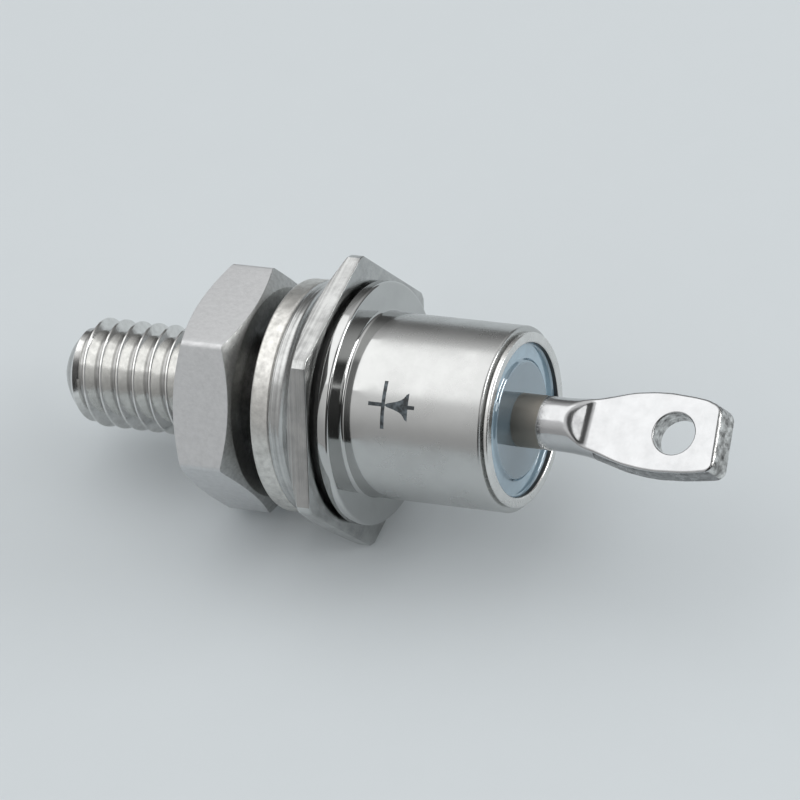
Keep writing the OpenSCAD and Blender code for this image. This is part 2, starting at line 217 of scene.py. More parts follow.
class DiodeStageSettings(PropertyGroup):
    """Camera at the photograph's viewing angle."""
    azimuth: turn("Azimuth", "Camera's turn round the diode", 30.508)
    elevation: turn("Elevation", "Camera's height over the horizon", 46.788)
    roll: turn("Roll", "Camera's lean", -11.74)
    distance: length("Distance", "Camera to target", 251.018)
    lens: FloatProperty(name="Lens", description="Focal length in mm on a 36 mm sensor", default=270, min=1)
    target: FloatVectorProperty(name="Target", description="Point that the camera looks at",
                                default=[0.19 * MM, 0.247 * MM, 5.875 * MM], size=3, subtype="TRANSLATION",
                                unit="LENGTH", precision=5)


# Shapes

def in_mm(group):
    """The settings of a group as plain numbers: lengths in millimetres, angles as they are."""
    rna = group.bl_rna.properties
    return SimpleNamespace(**{
        k: getattr(group, k) / MM if rna[k].unit == "LENGTH" else getattr(group, k)
        for k in group.__annotations__
    })


def all_settings(scene):
    """Sizes of every group in mm, the colours, and the heights and radii that pieces share."""
    groups = ("base", "nut", "can", "seal", "terminal")
    s = SimpleNamespace(**{name: in_mm(getattr(scene, "diode_" + name)) for name in groups})
    s.colours = scene.diode_finish
    seat = -(s.base.hex_len + s.base.flare_len + s.base.shoulder_len)
    washer_top = seat - s.nut.washer_t
    nut_top = washer_top - s.nut.gap
    rim_top = s.can.end + s.seal.rim_h
    s.at = SimpleNamespace(
        seat=seat, stud_end=seat - s.base.stud_len, washer_top=washer_top, nut_top=nut_top,
        nut_far=nut_top - s.nut.h, flange_top=s.can.flange_gap + s.can.flange_t, rim_top=rim_top,
        glass_top=rim_top - s.seal.recess)
    s.root_r = s.base.stud_d / 2 - s.base.thread_h
    s.can_inner_r = s.can.d / 2 - s.can.wall
    s.eyelet_inner_r = s.can_inner_r - s.seal.eyelet_wall
    return s


def axis_place():
    """The diode's own frame in the packed one: Z along its axis from the hexagon's face, X down, Y level."""
    stud = next(m for m in frame["record"]["mounts"] if m["name"] == "stud")
    along = -Vector(stud["axis"]).normalized()
    level = Vector((0, 1, 0))
    place = Matrix((level.cross(along), level, along)).transposed().to_4x4()
    place.translation = Vector(stud["pos_m"]) - along * STUD_MOUNT_AT * MM
    return place


def rounded(points, steps=5):
    """A profile of (height, radius, rounding) as (height, radius) pairs, with its corners as arcs."""
    out = []
    for i, (a, r, rounding) in enumerate(points):
        if not rounding or i in (0, len(points) - 1):
            out.append((a, r))
            continue
        corner = np.array((a, r))
        before = np.array(points[i - 1][:2]) - corner
        after = np.array(points[i + 1][:2]) - corner
        reach_1, reach_2 = np.linalg.norm(before), np.linalg.norm(after)
        before, after = before / reach_1, after / reach_2
        half = math.acos(np.clip(before @ after, -1, 1)) / 2
        # An arc takes less than half of each side, so that it leaves room for the next one
        tangent = min(rounding / math.tan(half), 0.48 * reach_1, 0.48 * reach_2)
        radius = tangent * math.tan(half)
        middle = (before + after) / np.linalg.norm(before + after)
        centre = corner + middle * radius / math.sin(half)
        start = corner + before * tangent - centre
        stop = corner + after * tangent - centre
        sweep = math.pi - 2 * half
        for t in np.linspace(0, 1, steps + 1):
            p = (math.sin((1 - t) * sweep) * start + math.sin(t * sweep) * stop) / math.sin(sweep)
            out.append(tuple(centre + p))
    return out


def polar(profile, turn_angle):
    """A profile of (height, radius) pairs at one turn angle, as points."""
    p = np.asarray(profile, float)
    return np.stack([p[:, 1] * math.cos(turn_angle), p[:, 1] * math.sin(turn_angle), p[:, 0]], axis=1)


def spun(profile, steps):
    """The same profile all the way round the axis."""
    return np.array([polar(profile, 2 * math.pi * k / steps) for k in range(steps)])


def skin(name, columns, loop=False, wrap=True):
    """A mesh over columns of points in mm. loop closes each column, wrap joins the last one to the first."""
    columns = np.asarray(columns)
    n, m, _ = columns.shape
    i, j = np.meshgrid(np.arange(n if wrap else n - 1), np.arange(m if loop else m - 1), indexing="ij")
    i2, j2 = (i + 1) % n, (j + 1) % m
    faces = np.stack([i * m + j, i2 * m + j, i2 * m + j2, i * m + j2], axis=-1).reshape(-1, 4)
    mesh = bpy.data.meshes.new(name)
    mesh.from_pydata((columns.reshape(-1, 3) * MM).tolist(), [], faces.tolist())
    return cleaned(mesh)


def cleaned(*meshes):
    """The meshes as one, with double points joined and faces turned outwards."""
    bm = bmesh.new()
    for mesh in meshes:
        bm.from_mesh(mesh)
    bmesh.ops.remove_doubles(bm, verts=bm.verts, dist=MERGE)
    bmesh.ops.dissolve_degenerate(bm, dist=MERGE, edges=bm.edges)
    bmesh.ops.recalc_face_normals(bm, faces=bm.faces)
    bm.to_mesh(meshes[0])
    bm.free()
    return meshes[0]


def piece(name, mesh, finishes, node, sharp=38):
    """Puts a mesh of the axis frame in its place, for one node of the packed model."""
    for finish in finishes:
        mesh.materials.append(finish.material)
    mesh.shade_smooth()
    mesh.set_sharp_from_angle(angle=math.radians(sharp))
    mesh.transform(axis_place())
    obj = bpy.data.objects.new(name, mesh)
    bpy.context.scene.collection.objects.link(obj)
    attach(obj, "root")
    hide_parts(node)


def next_finish(mesh, index, belongs):
    """Gives one of the piece's finishes to the faces that belong there, by their normal and middle in mm."""
    for face in mesh.polygons:
        if belongs(face.normal, face.center / MM):
            face.material_index = index


def hexagon_turns(first_corner, corner_half, corner_steps, flat_steps):
    """Turn angles round a hexagon, close together at its corners."""
    turns = []
    for k in range(6):
        corner = first_corner + k * math.pi / 3
        turns += [corner + corner_half * t for t in np.linspace(-1, 1, corner_steps)]
        flat = np.linspace(corner + corner_half, corner + math.pi / 3 - corner_half, flat_steps + 2)
        turns += list(flat[1:-1])
    return turns


def from_corner(turn_angle, first_corner):
    """Turn angle measured from the nearest corner of a hexagon."""
    return (turn_angle - first_corner + math.pi / 6) % (math.pi / 3) - math.pi / 6


# Half of a thread from root to crest: share of a pitch, and share of the thread's depth. The rest mirrors it
THREAD_HALF = [(0, 0), (0.07, 0), (0.1, 0.04), (0.12, 0.09), (0.42, 0.91), (0.44, 0.96), (0.46, 1), (0.5, 1)]
THREAD_FORM = np.array(THREAD_HALF + [(1 - share, depth) for share, depth in THREAD_HALF[-2::-1]])
# Powers of the curves of the stud's rounded end and of the flare under the hexagon
TIP_POWER, FLARE_POWER = 1.2, 1.79
# Share of the flare that is curved. The rest runs straight to the bevel
FLARE_CURVED = 0.97


def thread_radius(s, height, turn_angle):
    """Radius of the stud's thread at heights along the axis."""
    share = (np.asarray(height) / s.pitch - (turn_angle + s.thread_turn) / (2 * math.pi)) % 1
    return s.stud_d / 2 - s.thread_h + s.thread_h * np.interp(share, THREAD_FORM[:, 0], THREAD_FORM[:, 1])


def stud_columns(s, at, steps=168):
    """The threaded stud: columns whose points follow the thread round the axis."""
    low, high = at.stud_end, at.seat + s.edge
    # A few threads more than the stud has, which its two ends cut off
    threads = np.arange(math.floor(low / s.pitch) - 3, math.ceil(high / s.pitch) + 3)
    columns = []
    for t in np.linspace(0, 2 * math.pi, steps + 1):
        lead = (t + s.thread_turn) / (2 * math.pi)
        heights = ((threads[:, None] + THREAD_FORM[None, :-1, 0]).ravel() + lead) * s.pitch
        along = np.clip((heights - low) / s.tip_len, 0, 1)
        tip = s.tip_d / 2 + (s.stud_d - s.tip_d) / 2 * (1 - (1 - along) ** TIP_POWER) ** (1 / TIP_POWER)
        radii = np.minimum(thread_radius(s, heights, t), tip)
        radii[heights >= high] = s.stud_d / 2 - s.thread_h
        column = list(zip(np.clip(heights, low, high), radii))
        columns.append(polar([(low, 0)] + column + [(high, 0)], t))
    return columns


def base_columns(s, at):
    """Shoulder, flare and hexagon with its trimmed corners, and the face that carries weld ring and die."""
    flat, shoulder = s.hex_af / 2, s.shoulder_d / 2
    outer = flat / math.cos(math.pi / 6) - s.hex_trim
    first = math.pi / 6
    half = math.pi / 6 - math.acos(flat / outer)
    slope = np.array((s.hex_bevel, outer - flat)) / math.hypot(s.hex_bevel, outer - flat)
    ring_out, ring_in = s.groove_d / 2, s.groove_d / 2 - s.groove_w
    start = at.seat + s.shoulder_len
    # The edge of the shoulder and of the bevel each have one point between the ends of their rounding
    lower = [(at.seat, 0), (at.seat, shoulder - s.edge),
             (at.seat + 0.3 * s.edge, shoulder - 0.3 * s.edge), (at.seat + s.edge, shoulder)]
    lower += [(start + s.flare_len * k, shoulder + (flat - shoulder) * k ** FLARE_POWER)
              for k in np.linspace(0, FLARE_CURVED, 14)]
    columns = []
    for t in hexagon_turns(first, half, corner_steps=7, flat_steps=22):
        reach = min(outer, flat / math.cos(math.pi / 6 - abs(from_corner(t, first))))
        corner = np.array((-s.hex_len + s.hex_bevel * (reach - flat) / (outer - flat), reach))
        before, last = corner - slope * s.edge, np.array(lower[-1])
        # Points on the way from the flare to the edge of the bevel, and on that edge
        bevel = [last + (before - last) * k for k in (0.35, 0.7, 1)]
        bevel += [corner + (0.3 * s.edge, -0.12 * s.edge), corner + (s.edge, 0)]
        # From the middle of the flats over the upper edge, and across the groove to the pedestal
        upper = rounded([
            (-0.6 * s.hex_len, reach, 0), (0, reach, s.edge), (0, ring_out, 0), (-s.groove_h, ring_out, 0),
            (-s.groove_h, ring_in, 0), (0, ring_in, 0), (0, s.pedestal_d / 2, 0),
            (s.pedestal_h, s.pedestal_d / 2, 0), (s.pedestal_h, 0, 0)])
        columns.append(polar(lower + bevel + upper, t))
    return columns


def nut_columns(s, base, at):
    """Nut with bevelled corners on both faces, countersinks and the stud's thread inside."""
    flat = s.af / 2
    outer = flat / math.cos(math.pi / 6)
    first = math.pi / 6 - s.turn
    centre = (flat - s.corner) / math.cos(math.pi / 6)
    half = math.atan2(s.corner / 2, centre + s.corner * math.cos(math.pi / 6))
    sink = base.stud_d / 2 + s.sink
    inside = flat - s.face
    heights = np.linspace(at.nut_top, at.nut_far, 72)[1:-1]
    cone = sink - np.minimum(at.nut_top - heights, heights - at.nut_far)
    columns = []
    for t in hexagon_turns(first, half, corner_steps=9, flat_steps=24):
        off = abs(from_corner(t, first))
        if off < half:
            reach = centre * math.cos(off) + math.sqrt(s.corner ** 2 - (centre * math.sin(off)) ** 2)
        else:
            reach = flat / math.cos(math.pi / 6 - off)
        drop = s.bevel * (reach - inside) / (outer - inside)
        points = rounded([
            (at.nut_far, sink, 0), (at.nut_far, inside, s.edge), (at.nut_far + drop, reach, s.edge),
            (at.nut_top - drop, reach, s.edge), (at.nut_top, inside, s.edge), (at.nut_top, sink, 0)])
        bore = np.maximum(thread_radius(base, heights, t) + s.play, cone)
        columns.append(polar(points + list(zip(heights, bore)), t))
    return columns


def wander(angles, waves, seed):
    """A repeatable uneven line round a circle, about -1 to 1."""
    rng = np.random.default_rng(seed)
    out = np.zeros_like(angles)
    for k in waves:
        out += math.sqrt(1 / len(waves)) * np.sin(k * angles + rng.uniform(0, 2 * math.pi))
    return out


# Waves round the washer's rim that make it uneven, and how fast they change across it, in radians per mm
RIM_WAVES = (7, 13, 22, 31, 43, 58)
RIM_TURN = 9


def washer_columns(s, base, at, steps=240):
    """Punched washer: rounded edges, and an uneven sheared rim between them."""
    inner, outer = base.stud_d / 2 + s.washer_clear, s.washer_d / 2
    low, high, e = at.washer_top, at.seat, s.washer_edge
    points = rounded([(low, inner, 0), (low, outer, e), (high, outer, e), (high, inner, 0)])
    below, above = np.split(np.array(points), 2)
    rim = np.linspace(low + e, high - e, 9)[1:-1]
    angles = 2 * math.pi * np.arange(steps) / steps
    columns = []
    for t, uneven in zip(angles, wander(angles, RIM_WAVES, seed=3)):
        sheared = outer + s.washer_rough * uneven * np.sin(RIM_TURN * (rim - low)) - s.washer_hollow
        columns.append(polar(np.concatenate([below, np.column_stack([rim, sheared]), above]), t))
    return columns


def can_profile(s, at, inner):
    """Can and weld flange in one drawn piece."""
    outer, flange = s.d / 2, s.flange_d / 2
    return rounded([
        (s.flange_gap, inner, 0), (s.flange_gap, flange, s.flange_under),
        (at.flange_top, flange, s.flange_edge), (at.flange_top, outer, s.fillet),
        (s.end, outer, s.edge), (s.end, inner, 0)], 8)


def mark_strips(s):
    """Plain polarity mark on the can's wall: a bar, an arrow that points at it, and a line at both ends."""
    line = s.mark_line
    tip = s.mark_at + line / 2
    back = tip + s.mark_arrow
    # Each strip goes from one height and width to another
    strips = [
        [(s.mark_at - line / 2, s.mark_bar), (tip, s.mark_bar)],
        [(tip, s.mark_point), (back, s.mark_head)],
        [(s.mark_at - s.mark_lead, line), (s.mark_at - line / 2, line)],
        [(back, line), (back + s.mark_tail, line)],
    ]
    meshes = []
    for ends in strips:
        columns = [[polar([(height, s.d / 2 + s.mark_ink)], s.mark_turn + k * width / s.d)[0]
                    for height, width in ends] for k in np.linspace(-1, 1, 17)]
        meshes.append(skin("mark", columns, wrap=False))
        next_finish(meshes[-1], 1, lambda normal, middle: True)
    return meshes


def eyelet_profile(s, can, at, body, inner):
    """Eyelet in the can's end, with a round rim."""
    rim, low = can.d / 2 - s.rim_step, can.end - s.eyelet_depth
    return rounded([
        (low, inner, 0), (low, body, 0), (can.end, body, 0), (can.end, rim - s.rim_groove, 0),
        (can.end + s.rim_groove, rim, 0), (at.rim_top, rim, s.rim_edge), (at.rim_top, inner, s.rim_inner),
        (can.end, inner, 0)], 9)


def glass_profile(s, at, outer, tube_r):
    """Glass disc with a low collar round the terminal. It creeps up the eyelet."""
    top, collar, collar_r = at.glass_top, at.glass_top + s.collar_h, s.collar_d / 2
    creep = [(top + s.meniscus * (1 - u) ** 2, outer - s.meniscus * u) for u in np.linspace(0, 1, 9)]
    edge = rounded([(top, outer - s.meniscus, 0), (top, collar_r + s.collar_h, s.collar_h),
                    (collar, collar_r, s.collar_h), (collar, tube_r, 0)], 7)
    return [(top - s.glass_t, tube_r), (top - s.glass_t, outer)] + creep + edge[1:]


# Outline of the lug: share of its length, and share of the way from neck width to full width
LUG_CURVE = [(0, 0), (0.14, 0.32), (0.306, 0.74), (0.438, 0.94), (0.554, 1), (0.736, 0.88), (0.835, 0.74)]
# The outline is smoothed in steps of this many mm, over this many steps
OUTLINE_STEP, OUTLINE_WINDOW = 0.02, 31
# How much the tube bulges where the press begins, and how much the outline draws in at the end, in mm
PRESS_BULGE, END_DRAW_IN = 0.02, 0.05
# Stretches before and after the ramp where the tube's shape still changes, in mm
RUN_IN, RUN_OUT = 0.4, 0.3
# From the end of the ramp, where the section starts to get flat sides and where it has them, in mm
SQUARE_FROM, SQUARE_TO = -0.1, 1.7
# Before the lug's end, where it starts to slant and where it has its whole slant, in mm
SLANT_FROM, SLANT_TO = 1.2, 0.2
# Slant of the end over each mm of the lug's width, and the share of its corner that is thinned
END_SKEW, END_SHARE = 0.08, 0.2
# Size of the ring between the end's rim and its middle, as a share of the rim
END_RING = 0.55
# Steps over a quarter of the section: across the flat, round the edge, down the side
SECTION_STEPS = (16, 9, 4)
# Turns on the round tube, in degrees, at which these three begin and end
SECTION_TURNS = (0, 54, 78, 90)
# The hole's cutter: overlap with the lug's faces in mm, and how far its rounding goes round in radians
CUT_OVER, CUT_ROUND = 0.003, 1.35


def smooth_step(x, low, high):
    """0 below low, 1 above high, and smooth between."""
    t = np.clip((x - low) / (high - low), 0, 1)
    return t * t * (3 - 2 * t)


def softly_least(x, limit, blend):
    """The smaller of x and limit, with the corner between them rounded off over the length blend."""
    t = np.clip(0.5 + 0.5 * (limit - x) / blend, 0, 1)
    return limit * (1 - t) + x * t - blend * t * (1 - t)


def section_quarter(half_t, half_w, edge):
    """A quarter of the flat section, from the middle of its face to the middle of its side."""
    n_flat, n_edge, n_side = SECTION_STEPS
    points = [(half_t, (half_w - edge) * k / n_flat) for k in range(n_flat)]
    points += [(half_t - edge + edge * math.cos(t), half_w - edge + edge * math.sin(t))
               for t in np.linspace(0, math.pi / 2, n_edge + 1)[:-1]]
    points += [((half_t - edge) * (1 - k / n_side), half_w) for k in range(n_side + 1)]
    return np.array(points)


def quarter_turns():
    """Turn angles on the round tube of the points of a quarter section."""
    turns = [np.linspace(first, last, n, endpoint=False)
             for first, last, n in zip(SECTION_TURNS, SECTION_TURNS[1:], SECTION_STEPS)]
    return np.radians(np.concatenate(turns + [SECTION_TURNS[-1:]]))


def lug_half_width(s, heights):
    """Half of the width of tube, ramp and lug at heights along the axis, before the corners at its end."""
    flat_len = s.end - s.press_to
    known = [(s.press_from - RUN_IN, s.tube_d / 2), (s.press_from, s.tube_d / 2 + PRESS_BULGE)]
    known += [(s.press_to + c * flat_len, (s.neck_w + w * (s.lug_w - s.neck_w)) / 2) for c, w in LUG_CURVE]
    known += [(s.end - s.corner, s.tip_w / 2), (s.end, s.tip_w / 2 - END_DRAW_IN)]
    fine = np.arange(s.press_from - 3, s.end + 2, OUTLINE_STEP)
    rough = np.pad(np.interp(fine, *np.array(known).T), OUTLINE_WINDOW // 2, mode="edge")
    window = np.hanning(OUTLINE_WINDOW)
    return np.interp(heights, fine, np.convolve(rough, window / window.sum(), mode="valid"))


def from_lug(s, off_face, across, height):
    """Points that are given off the lug's middle plane, across it and along the axis."""
    c, d = math.cos(s.lug_turn), math.sin(s.lug_turn)
    return np.stack([off_face * c - across * d, off_face * d + across * c, height], axis=-1)


def terminal_rings(s, low):
    """Round tube, its pressed ramp and the flat lug, as rings of points along the axis."""
    r, half = s.tube_d / 2, s.lug_t / 2
    ramp_from, ramp_to, bend = s.press_from - RUN_IN, s.press_to + RUN_OUT, s.end - s.corner
    # Each stretch starts a little past the last ring of the one before
    stations = np.concatenate([
        np.linspace(low, ramp_from, 14), np.linspace(ramp_from + 0.02, ramp_to, 70),
        np.linspace(ramp_to + 0.05, bend, 60),
        bend + s.corner * np.sin(np.linspace(0, math.pi / 2, 12)[1:])])
    turns = quarter_turns()
    rings = []
    for a, w in zip(stations, lug_half_width(s, stations)):
        past = max(0, a - bend) / s.corner
        w -= s.corner * (1 - math.sqrt(max(0, 1 - past * past)))
        ramp = r + (half - r) * (a - s.press_from) / (s.press_to - s.press_from)
        thin = s.end_thin * max(0, (past - 1 + END_SHARE) / END_SHARE) ** 2
        h = -softly_least(-ramp, -half, s.press_soft) - thin
        flatness = smooth_step(a, s.press_to + SQUARE_FROM, s.press_to + SQUARE_TO)
        flat = section_quarter(h, w, s.side)
        p = (1 - flatness) * softly_least(r * np.cos(turns), h, s.press_soft) + flatness * flat[:, 0]
        q = (1 - flatness) * np.sin(turns) * w + flatness * flat[:, 1]
        quarter = np.stack([p, q], axis=1)
        ring = np.concatenate([quarter[:-1], (quarter * (-1, 1))[:0:-1],
                               (quarter * (-1, -1))[:-1], (quarter * (1, -1))[:0:-1]])
        slant = s.end_lean * ring[:, 0] / s.lug_t - END_SKEW * ring[:, 1] - s.end_back
        lean = smooth_step(a, s.end - SLANT_FROM, s.end - SLANT_TO)
        rings.append(from_lug(s, ring[:, 0], ring[:, 1], a + lean * slant))
    return np.array(rings)


def terminal_mesh(s, low):
    """The terminal with closed ends and its hole."""
    rings = terminal_rings(s, low)
    first, last = (np.broadcast_to(ring.mean(axis=0), ring.shape) for ring in (rings[0], rings[-1]))
    inner_end = last + (rings[-1] - last) * END_RING
    columns = np.concatenate([first[None], rings, inner_end[None], last[None]])
    mesh = skin("terminal", columns.transpose(1, 0, 2))
    half, edge, r = s.lug_t / 2, s.hole_edge, s.hole_d / 2
    side = [(half - edge * (1 - math.sin(k)) + CUT_OVER, r + edge * (1 - math.cos(k)))
            for k in np.linspace(0, CUT_ROUND, 7)]
    side += [(s.lug_t, r + 1.2 * edge), (s.lug_t, 0)]
    spin = spun([(-a, b) for a, b in side[::-1]] + side, 72)
    cutter = skin("hole", from_lug(s, spin[..., 2], spin[..., 0], s.end - s.hole_back + spin[..., 1]))
    return cut_hole(mesh, cutter)


def cut_hole(mesh, cutter):
    """mesh without what is inside cutter."""
    body, tool = (bpy.data.objects.new(m.name, m) for m in (mesh, cutter))
    for o in (body, tool):
        bpy.context.scene.collection.objects.link(o)
    modifier = body.modifiers.new("hole", "BOOLEAN")
    modifier.operation, modifier.solver, modifier.object = "DIFFERENCE", "EXACT", tool
    bpy.context.view_layer.update()
    made = bpy.data.meshes.new_from_object(body.evaluated_get(bpy.context.evaluated_depsgraph_get()))
    for o in (body, tool):
        bpy.data.objects.remove(o)
    if len(made.polygons) <= len(mesh.polygons):
        raise RuntimeError("the lug's hole wasn't cut")
    return made


# Finishes

def per_mm(millimetres):
    """Scale of a pattern whose features are that far apart, for coordinates in metres."""
    return 1 / (millimetres * MM)


def set_inputs(finish, inputs, node=None):
    """Sets inputs of a finish's shader or of another node, to values or to sockets and nodes to link."""
    sockets = (node or finish.shader).inputs
    for key, value in inputs.items():
        if isinstance(value, bpy.types.Node):
            value = next(o for o in value.outputs if o.enabled)
        if isinstance(value, bpy.types.NodeSocket):
            finish.tree.links.new(value, sockets[key])
        else:
            sockets[key].default_value = value


def add_node(finish, kind, inputs=None, **settings):
    """A node of a finish or of the room, with its settings and its inputs."""
    node = finish.tree.nodes.new("ShaderNode" + kind)
    for key, value in settings.items():
        setattr(node, key, value)
    set_inputs(finish, inputs or {}, node)
    return node


def new_finish(name):
    """An empty material with a principled shader, and its coordinates in the diode's own frame."""
    material = bpy.data.materials.new(name)
    material.use_nodes = True
    finish = SimpleNamespace(material=material, tree=material.node_tree)
    finish.tree.nodes.clear()
    finish.shader = add_node(finish, "BsdfPrincipled")
    add_node(finish, "OutputMaterial", {"Surface": finish.shader})
    inverse = axis_place().inverted()
    finish.place = add_node(finish, "Mapping", {
        "Vector": add_node(finish, "TexCoord").outputs["Object"],
        "Location": inverse.translation, "Rotation": inverse.to_euler()})
    return finish


def fed_by(finish, socket):
    """The output that one of a finish's shader inputs is linked to."""
    return finish.shader.inputs[socket].links[0].from_socket


def axis_height(finish):
    """Height along the diode's axis."""
    return add_node(finish, "SeparateXYZ", {"Vector": finish.place}).outputs["Z"]


def axis_distance(finish):
    """Distance from the diode's axis."""
    across = add_node(finish, "VectorMath", {0: finish.place, 1: (1, 1, 0)}, operation="MULTIPLY")
    return add_node(finish, "VectorMath", {0: across}, operation="LENGTH").outputs["Value"]


def shaded(finish, base, value, start, stop, dark, light=1):
    """Colours a finish with a share of base: dark where a value is at start, light where it is at stop."""
    share = add_node(finish, "MapRange", {
        "Value": value, "From Min": start, "From Max": stop, "To Min": dark, "To Max": light})
    tint = add_node(finish, "VectorMath", {0: base, "Scale": share}, operation="SCALE")
    set_inputs(finish, {"Base Color": tint.outputs["Vector"]})


def darker_inside(finish, near, far, dark, light=1):
    """Shades a finish further, from dark at one distance from the axis to light at another, both in mm."""
    shaded(finish, fed_by(finish, "Base Color"), axis_distance(finish), near * MM, far * MM, dark, light)
    return finish


# Values of the cloudy pattern between which a metal's tone and its gloss change
TONE_FROM, TONE_TO, GLOSS_FROM, GLOSS_TO = 0.32, 0.62, 0.3, 0.7


# Real plating has grain of a few thousandths of a millimetre and tool marks not much wider. They are drawn
# about a tenth to a third of a millimetre wide, as coarse as they need to show
def metal_finish(name, base, rough, shade=0.8, blotch_mm=1.2, rough_span=0.08, grain_mm=0.12, grain_um=1.5,
                 pits_mm=0, pits_um=0, ring_mm=0, ring_um=0, ring_tone=0, radial=False):
    """A plated or bare metal: cloudy tone and gloss, fine grain, and pits or tool marks if it has them."""
    finish = new_finish(name)
    cloud = add_node(finish, "TexNoise", {
        "Vector": finish.place, "Scale": per_mm(blotch_mm), "Detail": 5, "Roughness": 0.62})
    grain = add_node(finish, "TexNoise", {"Vector": finish.place, "Scale": per_mm(grain_mm), "Detail": 3})
    reliefs = [(grain, grain_um)]
    if pits_mm:
        pits = add_node(finish, "TexVoronoi", {"Vector": finish.place, "Scale": per_mm(pits_mm)},
                        feature="SMOOTH_F1")
        reliefs.append((pits, pits_um))
    if ring_mm:
        where = axis_height(finish)
        if radial:
            where = add_node(finish, "Math", {0: where, 1: axis_distance(finish)})
        ring = add_node(finish, "TexNoise", {"W": where, "Scale": per_mm(ring_mm), "Detail": 4},
                        noise_dimensions="1D")
        reliefs.append((ring, ring_um))
        cloud = add_node(finish, "Math", {0: ring, 1: ring_tone, 2: cloud}, operation="MULTIPLY_ADD")
        cloud = add_node(finish, "Math", {0: cloud, 1: ring_tone / 2}, operation="SUBTRACT")
    shaded(finish, base[:3], cloud, TONE_FROM, TONE_TO, shade)
    gloss = add_node(finish, "MapRange", {
        "Value": cloud, "From Min": GLOSS_FROM, "From Max": GLOSS_TO,
        "To Min": rough + rough_span, "To Max": rough - rough_span})
    set_inputs(finish, {"Roughness": gloss, "Metallic": 1})
    bump = {}
    for height, depth_um in reliefs:
        relief = {"Height": height, "Distance": depth_um * 1e-6, "Strength": 1}
        bump = {"Normal": add_node(finish, "Bump", relief | bump)}
    set_inputs(finish, bump)
    return finish


def part_of(base, share):
    """A darker colour with a share of another one's light."""
    return [v * share for v in base[:3]]


def nickel_on_turned_copper(colours):
    # Turned copper with bright nickel on it: near mirror, with the lathe's fine rings still showing through
    return metal_finish("bright_nickel_on_turned_copper", colours.nickel, 0.2, shade=0.7, blotch_mm=0.9,
                        rough_span=0.07, grain_mm=0.1, grain_um=1.0, ring_mm=0.16, ring_um=16, ring_tone=0.8)


def nickel_on_rolled_thread(colours, root_r, root_shade=0.1):
    # The rolled thread under the same nickel: burnished crests without rings, and painted shade in the roots
    finish = metal_finish("bright_nickel_on_rolled_thread", colours.eyelet, 0.17, shade=0.85, blotch_mm=0.3,
                          rough_span=0.06, grain_mm=0.12, grain_um=2)
    # Painted shade: the roots half as light, fading out towards the crests
    return darker_inside(finish, root_r, root_r + root_shade, 0.5)


def satin_nickel_on_steel(colours):
    # Machined steel with satin nickel: dull silver with fine pits, so reflections are only light and shade
    return metal_finish("satin_nickel_on_machined_steel", colours.satin, 0.55, shade=0.93, blotch_mm=0.25,
                        rough_span=0.05, grain_mm=0.06, grain_um=4.0, pits_mm=0.16, pits_um=6)


def cut_steel_in_painted_shade(colours, shade_edge_r, shade_reach=0.9):
    # The nut's face in the gap, as the tool left it: streaked grey, with painted shade that goes black
    # towards the thread
    finish = metal_finish("cut_steel_in_painted_shade", colours.nickel, 0.36, shade=0.75, blotch_mm=0.2, rough_span=0.1,
                          grain_mm=0.1, grain_um=4, ring_mm=0.12, ring_um=5, radial=True)
    # Painted shade of the gap: black near the thread, fading out towards the flats
    return darker_inside(finish, shade_edge_r - shade_reach, shade_edge_r, 0.08, 0.85)


def tin_on_punched_steel(colours):
    # Punched steel with matt tin: creamy white, mottled along the sheared rim
    return metal_finish("matt_tin_on_punched_steel", colours.washer, 0.36, shade=0.74, blotch_mm=0.32,
                        rough_span=0.1, grain_mm=0.09, grain_um=5.0, pits_mm=0.3, pits_um=9)


def nickel_on_drawn_steel(colours, flange_top, bright=0.6, satin=1.2):
    # Drawn steel with bright nickel: satin along the wall, burnished to a mirror on the flange and beside it
    finish = metal_finish("bright_nickel_on_drawn_steel", colours.nickel, 0.26, shade=0.92, blotch_mm=1.6,
                          rough_span=0.05, grain_mm=0.16, grain_um=0.25, ring_mm=0.3, ring_um=0.4)
    share = add_node(finish, "MapRange", {
        "Value": axis_height(finish), "From Min": (flange_top + bright) * MM,
        "From Max": (flange_top + satin) * MM, "To Min": 0.34, "To Max": 1})
    gloss = add_node(finish, "Math", {0: fed_by(finish, "Roughness"), 1: share}, operation="MULTIPLY")
    set_inputs(finish, {"Roughness": gloss})
    return finish


def printed_ink(colours):
    # Stamped ink that has dried thin: dark grey, hardly glossy, several times lighter where the metal shows
    finish = new_finish("stamped_ink")
    thin = add_node(finish, "TexNoise", {"Vector": finish.place, "Scale": per_mm(0.22), "Detail": 4})
    shaded(finish, colours.ink[:3], thin, 0.4, 0.72, 1, light=5.8)
    set_inputs(finish, {"Roughness": 0.55})
    return finish


def nickel_on_eyelet(colours):
    # Nickel-iron eyelet with bright nickel: a round rim that catches the light as a white line
    return metal_finish("bright_nickel_on_eyelet", colours.eyelet, 0.25, shade=0.9, blotch_mm=0.6,
                        rough_span=0.06, grain_mm=0.1, grain_um=0.8)


def oxide_and_painted_shade_on_eyelet(colours):
    # Wall inside the eyelet, oxidised before the glass was fused in, and darkened to nearly black with
    # painted shade in the recess, so the glass looks sunk
    return metal_finish("dark_oxide_and_painted_shade_on_eyelet", part_of(colours.eyelet, 0.12), 0.4, shade=0.7, blotch_mm=0.4)


